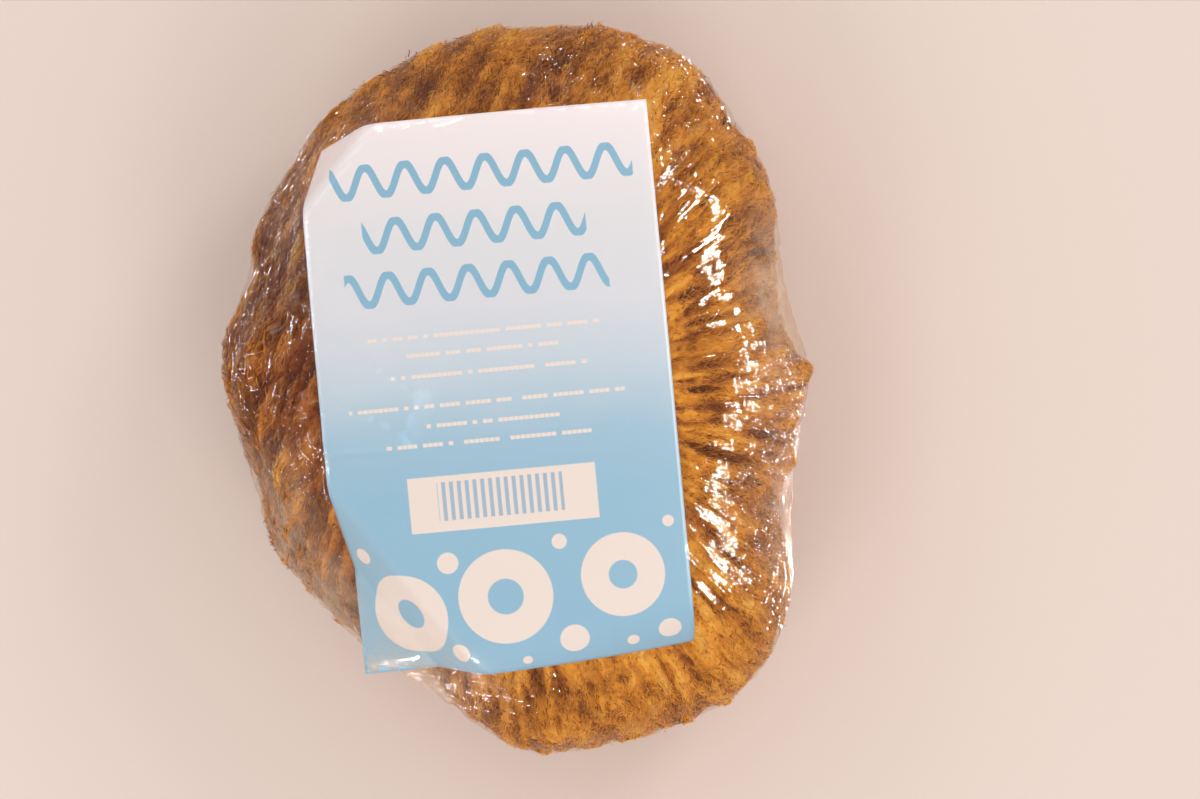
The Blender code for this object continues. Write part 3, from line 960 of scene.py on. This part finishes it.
@dataclass
class Fibres:
    """Fine fibres that lie over the sponge's surface, each a thin tapered blade."""

    sponge: Sponge
    pieces: int = 5
    per_piece: int = 18500
    seed: int = 77
    shortest: float = 1.2 * MM
    longest: float = 3.8 * MM
    thinnest: float = 0.12 * MM
    thickest: float = 0.30 * MM
    tallest: float = 0.75 * MM
    stray: float = math.radians(21)
    tuft: Grain = Grain(0.75 * MM, 45, 2.6 * MM)
    tuft_contrast: float = 0.16
    tallest_by_insert: float = 0.25 * MM
    length_by_insert: float = 0.45
    rise_range: tuple[float, float] = (0.15, 1.0)
    covered_edge: int = 4
    near_edge: int = 8
    evening: int = 4
    sway: float = 0.12
    middle_lift: float = 0.85
    tip_lift: float = 0.9
    bedded: float = 0.15 * MM
    taper: float = 0.8
    uneven_tone: float = 0.09
    # Painted shade at each fibre's root and painted light at its tip.
    root_to_tip: tuple[float, float, float] = (-0.16, 0.04, 0.16)
    bare_back: float = 4.0 * MM
    lowest: float = 0.4 * MM

    def roots(self, draw: np.random.Generator, count: int) -> dict[str, np.ndarray]:
        """Pick where fibres grow, evenly over the surface that can be seen.

        Args:
            draw: Source of the random picks.
            count: Number of fibres.

        Returns:
            For each fibre its place, the surface's normal, the fibre line, its colour level with the
            surface's painted shade and light, how tall it may stand and how much shorter it is kept.
        """
        sponge = self.sponge
        placed = sponge.skin.points(sponge.reach)
        even = sponge.skin.points(evened(sponge.reach, self.evening))
        step_down = placed[1:] - placed[:-1]
        step_round = (np.roll(placed, -1, axis=1) - placed)[:-1]
        area = np.linalg.norm(np.cross(step_down, step_round), axis=-1)
        normal = unit(np.cross(even[1:] - even[:-1], (np.roll(even, -1, axis=1) - even)[:-1]))
        under_insert = np.isfinite(sponge.under).astype(float)
        covered = widened(-under_insert, self.covered_edge, 0.0) < -0.5
        seen = (placed[:-1, :, 2] > self.bare_back - sponge.middle.z) & ~covered[:-1]
        chance = (area * seen).reshape(-1)
        picked = draw.choice(len(chance), size=count, p=chance / chance.sum())
        row, column = np.divmod(picked, placed.shape[1])
        share_down = draw.random((count, 1))
        share_round = draw.random((count, 1))
        place = placed[row, column] + step_down[row, column] * share_down
        place = place + step_round[row, column] * share_round
        near = widened(under_insert, self.near_edge, 0.0)[row, column] > 0.5
        line = sponge.lines[row, column]
        tufted = self.tuft.combed(place, line)
        return {
            "place": place,
            "normal": normal[row, column],
            "line": line,
            "height": sponge.height[row, column] + self.tuft_contrast * tufted,
            "tallest": np.where(near, self.tallest_by_insert, self.tallest),
            "shorter": np.where(near, self.length_by_insert, 1.0),
        }

    def mesh(self, name: str, draw: np.random.Generator, count: int) -> bpy.types.Mesh:
        """Grow one joined mesh of fibres.

        Args:
            name: Name of the mesh.
            draw: Source of the random picks.
            count: Number of fibres.

        Returns:
            The mesh.
        """
        root = self.roots(draw, count)
        normal = root["normal"]
        line = unit(root["line"] - normal * np.sum(root["line"] * normal, axis=-1, keepdims=True))
        turn = draw.normal(0.0, self.stray, (count, 1))
        turn = turn + np.where(draw.random((count, 1)) < 0.5, math.pi, 0.0)
        line = line * np.cos(turn) + np.cross(normal, line) * np.sin(turn)
        side = np.cross(normal, line)
        length = draw.uniform(self.shortest, self.longest, (count, 1)) * root["shorter"][:, None]
        rise = length * np.sin(draw.uniform(*self.rise_range, (count, 1)))
        rise = np.minimum(rise, root["tallest"][:, None])
        width = draw.uniform(self.thinnest, self.thickest, (count, 1)) / 2
        sway = draw.normal(0.0, self.sway, (count, 1)) * length
        start = root["place"] - normal * self.bedded
        middle = root["place"] + line * (length * 0.5) + normal * (rise * self.middle_lift) + side * sway
        tip = root["place"] + line * length + normal * (rise * self.tip_lift)
        corners = []
        for place, thick in ((start, width), (middle, width * self.taper)):
            for angle in (math.pi / 2, math.pi * 7 / 6, math.pi * 11 / 6):
                corners.append(place + (side * math.cos(angle) + normal * math.sin(angle)) * thick)
        corners.append(tip)
        points = np.stack(corners, axis=1).reshape(-1, 3) + np.array(self.sponge.middle)
        points[:, 2] = np.maximum(points[:, 2], self.lowest)
        faces = ((0, 2, 1), (0, 1, 4, 3), (1, 2, 5, 4), (2, 0, 3, 5), (3, 4, 6), (4, 5, 6), (5, 3, 6))
        pattern = np.array([corner for face in faces for corner in face])
        sizes = np.array([len(face) for face in faces])
        loops = (pattern[None, :] + len(corners) * np.arange(count)[:, None]).reshape(-1)
        starts = np.concatenate([[0], np.cumsum(np.tile(sizes, count))[:-1]])
        mesh = bpy.data.meshes.new(name)
        mesh.vertices.add(len(points))
        mesh.vertices.foreach_set("co", points.reshape(-1))
        mesh.loops.add(len(loops))
        mesh.loops.foreach_set("vertex_index", loops)
        mesh.polygons.add(len(starts))
        mesh.polygons.foreach_set("loop_start", starts)
        mesh.update(calc_edges=True)
        tone = root["height"][:, None] + draw.normal(0.0, self.uneven_tone, (count, 1))
        # Each fibre carries the surface's painted shade and light, darker at its root and paler at its tip.
        tone = tone + np.repeat(self.root_to_tip, (3, 3, 1))
        mark_points(mesh, "height", np.clip(tone, 0.0, 1.0))
        return mesh

    def build(self) -> list[bpy.types.Object]:
        """Grow all the fibres, in a few joined pieces.

        Returns:
            The finished pieces.
        """
        finish = SpongeFinish("ochre_fibres").material()
        grown = []
        count = self.per_piece
        for number in range(self.pieces):
            name = "sponge_fibres_%d" % (number + 1)
            mesh = self.mesh(name, np.random.default_rng(self.seed + number), count)
            piece = bpy.data.objects.new(name, mesh)
            bpy.context.scene.collection.objects.link(piece)
            make_smooth(piece)
            mesh.materials.append(finish)
            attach(piece, BODY)
            report(piece)
            grown.append(piece)
        return grown


@dataclass(frozen=True)
class Bend:
    """A corner of the insert, bent down past a line that lies at a depth from the corner.

    The bend faces the direction toward, in degrees from +X, and has a radius up to its steepest
    slope, also in degrees. Past that the sheet runs straight, and past reach it is level again.
    """

    side_x: int
    side_y: int
    toward: float
    depth: float
    radius: float
    steepest: float
    reach: float


@dataclass(frozen=True)
class Crease:
    """A straight crease in the insert, in millimetres, between two places on the flat sheet."""

    start: tuple[float, float]
    end: tuple[float, float]
    height: float
    width: float

    def rise(self, across: np.ndarray, along: np.ndarray) -> np.ndarray:
        """How far the crease lifts each place of the flat sheet.

        Args:
            across: Places across the sheet from its middle.
            along: Places up it.

        Returns:
            The lift at each place.
        """
        run = np.array(self.end) - np.array(self.start)
        length = float(np.hypot(*run))
        run = run / length
        x = across / MM - self.start[0]
        y = along / MM - self.start[1]
        over = x * run[0] + y * run[1]
        beside = x * run[1] - y * run[0]
        past = np.maximum(np.maximum(-over, over - length), 0.0)
        return self.height * MM * np.exp(-np.abs(beside) / self.width - (past / self.width) ** 2)


@dataclass
class Insert:
    """The paper insert: a bowed sheet with three bent corners, creases and a print."""

    middle: Vector
    width: float = 79.0 * MM
    height: float = 126.0 * MM
    top: float = 80.0 * MM
    thickness: float = 0.25 * MM
    columns: int = 84
    rows: int = 130
    bow_across: float = 200.0 * MM
    bow_along: float = 400.0 * MM
    bends: tuple[Bend, ...] = (
        Bend(-1, 1, 137.9, 14.5 * MM, 4.0 * MM, 62.0, 15.0 * MM),
        Bend(-1, -1, 214.7, 27.9 * MM, 4.0 * MM, 52.0, 14.0 * MM),
        Bend(1, -1, 278.0, 15.5 * MM, 13.0 * MM, 70.0, 16.0 * MM),
    )
    creases: tuple[Crease, ...] = (
        Crease((-40.0, -11.0), (-22.0, -10.0), -1.2, 1.6), Crease((-38.0, 18.0), (-17.0, 1.0), 0.9, 2.2),
        Crease((-36.0, 34.0), (-22.0, 12.0), -0.9, 2.4), Crease((-22.0, -10.0), (-17.0, 1.0), 0.9, 2.0),
        Crease((-39.0, 4.0), (-20.0, -8.0), 0.9, 1.8), Crease((-30.0, -63.0), (-22.0, -46.0), 0.3, 3.0),
        Crease((5.0, -62.0), (10.0, -50.0), -0.3, 2.6), Crease((20.0, -62.0), (22.0, -52.0), 0.3, 2.4),
    )

    def bent(self, across: np.ndarray, along: np.ndarray) -> np.ndarray:
        """Where points of the flat sheet are once it is bowed and its corners are bent.

        Args:
            across: Places across the sheet from its middle.
            along: Places up it.

        Returns:
            The points in space.
        """
        x = across + self.middle.x + INSERT_FROM_MIDDLE[0]
        y = along + self.middle.y + INSERT_FROM_MIDDLE[1]
        drop = across ** 2 / (2 * self.bow_across) + along ** 2 / (2 * self.bow_along)
        for bend in self.bends:
            out_x = math.cos(math.radians(bend.toward))
            out_y = math.sin(math.radians(bend.toward))
            from_corner_x = across - bend.side_x * self.width / 2
            from_corner_y = along - bend.side_y * self.height / 2
            past = np.clip(from_corner_x * out_x + from_corner_y * out_y + bend.depth, 0.0, bend.reach)
            turn = np.minimum(past / bend.radius, math.radians(bend.steepest))
            straight = past - turn * bend.radius
            shift = bend.radius * np.sin(turn) + straight * np.cos(turn) - past
            x = x + out_x * shift
            y = y + out_y * shift
            drop = drop + bend.radius * (1 - np.cos(turn)) + straight * np.sin(turn)
        for crease in self.creases:
            drop = drop - crease.rise(across, along)
        return np.stack([x, y, self.top - drop], axis=-1)

    def build(self) -> bpy.types.Object:
        """Make the sheet, bend it, give it its thickness and print it.

        Returns:
            The finished piece.
        """
        select_only(None)
        bpy.ops.mesh.primitive_grid_add(
            x_subdivisions=self.columns, y_subdivisions=self.rows, size=1.0, calc_uvs=True)
        piece = bpy.context.object
        piece.name = "insert_sheet"
        flat = read_points(piece.data)
        move_points(piece.data, self.bent(flat[:, 0] * self.width, flat[:, 1] * self.height))
        piece.data.materials.append(PrintFinish("printed_paper", self.width, self.height).material())
        piece.data.materials.append(PlainFinish("bare_paper", srgb(244, 240, 236), 0.7).material())
        make_smooth(piece)
        thicken(piece, self.thickness, rim=1)
        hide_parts("label")
        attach(piece, BODY)
        report(piece)
        return piece


@dataclass
class Film:
    """The clear film: drawn tight over sponge and insert, creased, and open at its back."""

    middle: Vector
    segments: int = 460
    rings: int = 106
    gap: float = 0.75 * MM
    gap_slope: float = 0.2 * MM
    insert_gap: float = 0.15 * MM
    closest: float = 0.25 * MM
    smoothing: int = 14
    crumple_height: float = 0.55 * MM
    pleat_height: float = 0.22 * MM
    folds: Grain = Grain(5.2 * MM, 61)
    fold_sharpness: float = 2.4
    pleats: Grain = Grain(1.5 * MM, 62, 7.0 * MM)
    start_evening: int = 3
    slack_evening: int = 2
    loose_range: tuple[float, float] = (-30.0 * MM, -18.0 * MM)
    slack_on_insert: float = 0.06
    lying_edge: int = 5
    lying_rounds: int = 8
    hazes: tuple[Patch, ...] = (
        Patch(61.0, -38.0, 7.0, 24.0, 0.34), Patch(62.0, 15.0, 7.0, 15.0, 0.45),
        Patch(-36.0, -66.0, 15.0, 8.0, 0.55), Patch(-57.0, -28.0, 8.0, 15.0, 0.28),
        Patch(-47.0, -48.0, 9.0, 12.0, 0.34), Patch(-43.0, 58.0, 8.0, 14.0, 0.06),
    )
    crumples: tuple[Patch, ...] = (
        Patch(-43.0, 56.0, 14.0, 22.0), Patch(38.0, 66.0, 20.0, 14.0), Patch(63.0, -44.0, 12.0, 34.0),
        Patch(-40.0, -66.0, 26.0, 16.0), Patch(-52.0, 6.0, 10.0, 18.0),
    )
    wall: float = 0.06 * MM
    levels: tuple[tuple[int, int], ...] = ((4, 150), (2, 80), (1, 60))
    opening: float = 7.0 * MM

    def drawn(
        self, directions: np.ndarray, reach: np.ndarray, least: np.ndarray, rounds: int,
    ) -> np.ndarray:
        """Draw a grid of points tight over the least reach that each may have.

        Args:
            directions: Direction of each point from the middle.
            reach: The reach that the points start from.
            least: The reach that they may not fall below.
            rounds: How often each point is drawn towards its neighbours.

        Returns:
            The reach of the tight grid.
        """
        placed = directions * reach[..., None]
        across = np.linalg.norm(placed - np.roll(placed, 1, axis=1), axis=-1)[1:-1]
        down = np.linalg.norm(np.gradient(placed, axis=0), axis=-1)[1:-1]
        beside_share = (down ** 2 / (down ** 2 + across ** 2))[..., None]
        inner = directions[1:-1]
        for _ in range(rounds):
            endwise = (placed[:-2] + placed[2:]) / 2
            beside = (np.roll(placed, 1, axis=1) + np.roll(placed, -1, axis=1))[1:-1] / 2
            pulled = np.sum((endwise + (beside - endwise) * beside_share) * inner, axis=-1)
            placed[1:-1] = inner * np.maximum(pulled, least[1:-1])[..., None]
        return np.linalg.norm(placed, axis=-1)

    def taut(self, skin: PolarSkin, reach: np.ndarray, least: np.ndarray) -> np.ndarray:
        """Draw the film tight, first on a coarse grid and then on finer ones.

        Args:
            skin: The film's skin.
            reach: The reach that it starts from.
            least: The reach that it may not fall below.

        Returns:
            The tight film's reach.
        """
        for stride, rounds in self.levels:
            peaks = widened(least, stride - 1, 0.0)
            coarse = self.drawn(skin.directions[::stride, ::stride], reach[::stride, ::stride],
                                peaks[::stride, ::stride], rounds)
            reach = np.maximum(spread_out(coarse, stride, reach.shape), least)
        return reach

    def build(self, covered: tuple[bpy.types.Object, bpy.types.Object]) -> bpy.types.Object:
        """Draw the film over what it covers.

        Args:
            covered: The sponge's surface and the insert.

        Returns:
            The finished piece.
        """
        skin = PolarSkin("film_wrap", self.segments, self.rings, self.middle)
        start = evened(skin.outermost(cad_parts["film"]), self.start_evening)
        surface, insert = covered
        over = skin.outermost(insert)
        below = skin.outermost(surface)
        on_insert = over > 0
        least = np.where(on_insert, over + self.insert_gap, widened(below, 1, self.gap_slope) + self.gap)
        start = np.where(on_insert, least, start)
        floor = skin.to_level(self.middle.z)
        least = np.minimum(least, floor)
        reach = self.taut(skin, np.minimum(np.maximum(start, least), floor), least)
        touching = np.where(on_insert, least, np.minimum(below + self.closest, floor))
        reach = np.where(on_insert, reach, evened(reach, self.smoothing))
        reach = np.maximum(reach, touching)
        lying = evened(-widened(-on_insert.astype(float), self.lying_edge, 0.0), self.lying_rounds)
        reach = np.where(on_insert, reach + (least - reach) * lying, reach)
        placed = skin.points(reach)
        loose = np.where(on_insert, 0.0, smooth_share(placed[..., 2], *self.loose_range))
        crumpled = together(self.crumples, placed)
        folds = 1.0 - np.abs(self.folds.at(placed)) * self.fold_sharpness
        pleats = self.pleats.combed(placed, unit(np.gradient(placed, axis=0)))
        reach = reach + loose * (self.crumple_height * crumpled * folds + self.pleat_height * pleats)
        reach = np.minimum(np.maximum(reach, touching), floor)
        skin.shape(reach, reach[0].mean(), self.middle.z)
        skin.mark("slack", evened(np.where(on_insert, self.slack_on_insert, 1.0), self.slack_evening))
        skin.mark("folded", np.minimum(crumpled, 1.0))
        skin.mark("haze", together(self.hazes, placed))
        piece = skin.piece
        self.open_back(piece)
        make_smooth(piece)
        thicken(piece, self.wall)
        piece.data.materials.append(FilmFinish("clear_film", self.middle).material())
        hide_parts("film")
        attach(piece, BODY)
        report(piece)
        return piece

    def open_back(self, piece: bpy.types.Object) -> None:
        """Take the faces out of the small hole in the gathered back.

        Args:
            piece: The film before it gets its wall.
        """
        mesh = bmesh.new()
        mesh.from_mesh(piece.data)
        hole = []
        for face in mesh.faces:
            place = face.calc_center_median()
            if place.z < 1.0 * MM and (place - self.middle).xy.length < self.opening:
                hole.append(face)
        bmesh.ops.delete(mesh, geom=hole, context="FACES")
        mesh.to_mesh(piece.data)
        mesh.free()


class Lamp(Enum):
    """The studio's lights.

    Each has its name, azimuth from +X and elevation in degrees, distance, size, power, and
    whether it lights the surfaces or is only mirrored in them.
    """

    KEY = ("key", 38.0, 42.0, 1.4, (0.36, 0.36), 2.5, True)
    UPPER_LEFT = ("upper left", 128.0, 46.0, 1.5, (0.55, 0.55), 1.5, True)
    LOWER_LEFT = ("lower left", 232.0, 46.0, 1.5, (0.55, 0.55), 3.1, True)
    LOWER_RIGHT = ("lower right", 292.0, 46.0, 1.5, (0.55, 0.55), 3.2, True)
    STRIP = ("strip", -2.0, 21.0, 1.4, (0.9, 0.13), 95.0, False)
    GLINT_UPPER_RIGHT = ("glint upper right", 60.0, 24.0, 1.1, (0.25, 0.08), 13.0, False)
    GLINT_UPPER = ("glint upper", 100.0, 20.0, 1.1, (0.20, 0.08), 10.0, False)
    GLINT_UPPER_LEFT = ("glint upper left", 160.0, 14.0, 1.1, (0.30, 0.12), 14.0, False)
    GLINT_LEFT = ("glint left", 184.0, 13.0, 1.1, (0.25, 0.10), 6.0, False)
    GLINT_LOWER = ("glint lower", 246.0, 13.0, 1.1, (0.30, 0.12), 14.0, False)

    def light(self, aim: Vector, colour: tuple[float, float, float]) -> None:
        """Hang this light and turn it to the object.

        Args:
            aim: Where it points.
            colour: Its colour.
        """
        name, azimuth, elevation, distance, size, power, lights = self.value
        data = bpy.data.lights.new(name, "AREA")
        data.shape = "RECTANGLE"
        data.size, data.size_y = size
        data.energy = power
        data.color = colour
        lamp = bpy.data.objects.new(name, data)
        lamp.visible_diffuse = lights
        lamp.visible_glossy = not lights
        bpy.context.scene.collection.objects.link(lamp)
        turn = math.radians(azimuth)
        rise = math.radians(elevation)
        level = math.cos(rise)
        away = Vector((math.cos(turn) * level, math.sin(turn) * level, math.sin(rise)))
        lamp.location = aim + away * distance
        lamp.rotation_euler = away.to_track_quat("Z", "Y").to_euler()


@dataclass
class Studio:
    """Pale floor, soft light and the camera over the object."""

    middle: Vector
    camera_height: float = 0.95
    focal_pixels: float = 3915.0
    picture_width: int = 1200
    sensor: float = 36.0
    roll: float = math.radians(-5.3)
    aim_off: tuple[float, float] = (19.36 * MM, -5.2 * MM)
    floor_size: float = 6.0
    floor_drop: float = 0.03 * MM
    floor_colour: tuple = srgb(235, 218, 209)
    floor_roughness: float = 0.6
    room_colour: tuple = (1.0, 0.97, 0.945, 1.0)
    side_light: float = 0.75
    overhead_light: float = 0.70
    lamp_aim: float = 40.0 * MM
    lamp_colour: tuple[float, float, float] = (1.0, 0.985, 0.965)

    def lay_floor(self) -> None:
        """Lay the plain pale floor."""
        select_only(None)
        bpy.ops.mesh.primitive_plane_add(size=self.floor_size, location=(0, 0, -self.floor_drop))
        floor = bpy.context.object
        floor.name = "floor"
        finish = PlainFinish("floor", self.floor_colour, self.floor_roughness, 0.02, 3.0)
        floor.data.materials.append(finish.material())

    def light(self) -> None:
        """Light the room, darker overhead than at the sides, and hang the lamps."""
        world = bpy.data.worlds.new("room")
        world.use_nodes = True
        tree = world.node_tree
        background = tree.nodes["Background"]
        place = tree.nodes.new("ShaderNodeTexCoord")
        split = tree.nodes.new("ShaderNodeSeparateXYZ")
        rise = tree.nodes.new("ShaderNodeMapRange")
        rise.inputs["To Min"].default_value = self.side_light
        rise.inputs["To Max"].default_value = self.overhead_light
        tree.links.new(place.outputs["Generated"], split.inputs[0])
        tree.links.new(split.outputs["Z"], rise.inputs["Value"])
        tree.links.new(rise.outputs[0], background.inputs["Strength"])
        background.inputs["Color"].default_value = self.room_colour
        bpy.context.scene.world = world
        for lamp in Lamp:
            lamp.light(Vector((0.0, 0.0, self.lamp_aim)), self.lamp_colour)

    def set_camera(self) -> None:
        """Hang the camera straight over the object, turned as the photograph is."""
        data = bpy.data.cameras.new("camera")
        data.sensor_width = self.sensor
        data.lens = self.focal_pixels / self.picture_width * self.sensor
        data.clip_start = 0.01
        camera = bpy.data.objects.new("camera", data)
        bpy.context.scene.collection.objects.link(camera)
        place = self.middle + Vector((self.aim_off[0], self.aim_off[1], 0.0))
        camera.location = (place.x, place.y, self.camera_height)
        camera.rotation_euler = (0.0, 0.0, self.roll)
        bpy.context.scene.camera = camera

    def build(self) -> None:
        """Set up floor, lights, camera and the way light is shown."""
        self.lay_floor()
        self.light()
        self.set_camera()
        bpy.context.scene.view_settings.view_transform = "Standard"


def main() -> None:
    """Build the studio, the insert, the sponge under it and the film over both."""
    logging.basicConfig(level=logging.INFO, format="%(name)s %(message)s")
    middle = sponge_middle()
    Studio(middle).build()
    insert = Insert(middle).build()
    sponge = Sponge(middle)
    surface = sponge.build(insert)
    Fibres(sponge).build()
    Film(middle).build((surface, insert))


if __name__ == "__main__":
    main()
